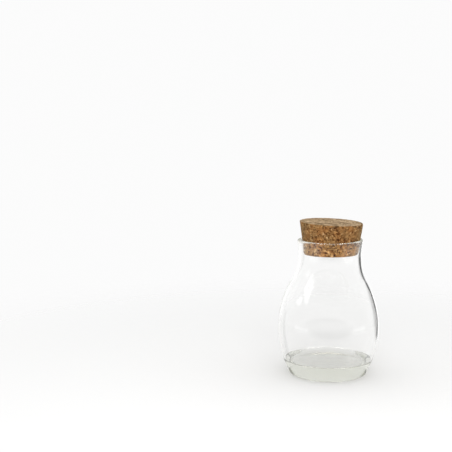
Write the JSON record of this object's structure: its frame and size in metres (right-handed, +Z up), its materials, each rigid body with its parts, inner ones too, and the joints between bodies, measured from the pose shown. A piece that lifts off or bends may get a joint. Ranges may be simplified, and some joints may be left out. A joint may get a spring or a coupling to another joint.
{
  "type": "storage jar",
  "caption": "Clear blown-glass storage jar with a wide mouth, a pear-shaped body and a thick base, closed by a tapered cork stopper that pulls out upwards.",
  "frame": {"origin": "centre of the jar's foot, on the table", "axes": "+Z up along the jar's axis, out of the mouth; +X to the side where the stopper's slanted top face is lower"},
  "size_m": [0.1022, 0.1022, 0.1576],
  "materials": {
    "clear_glass": "clear, smooth and fire-polished, with a faint green in the thick base",
    "pressed_cork": "dull agglomerated cork, granular, with small dark pits"
  },
  "bodies": {
    "jar": {"glass_jar": "clear_glass"},
    "stopper": {"cork_stopper": "pressed_cork"}
  },
  "joints": [
    {"name": "stopper_pull", "type": "slide", "parent": "jar", "child": "stopper", "axis": [0, 0, 1], "range_m": [0, 0.06]}
  ]
}
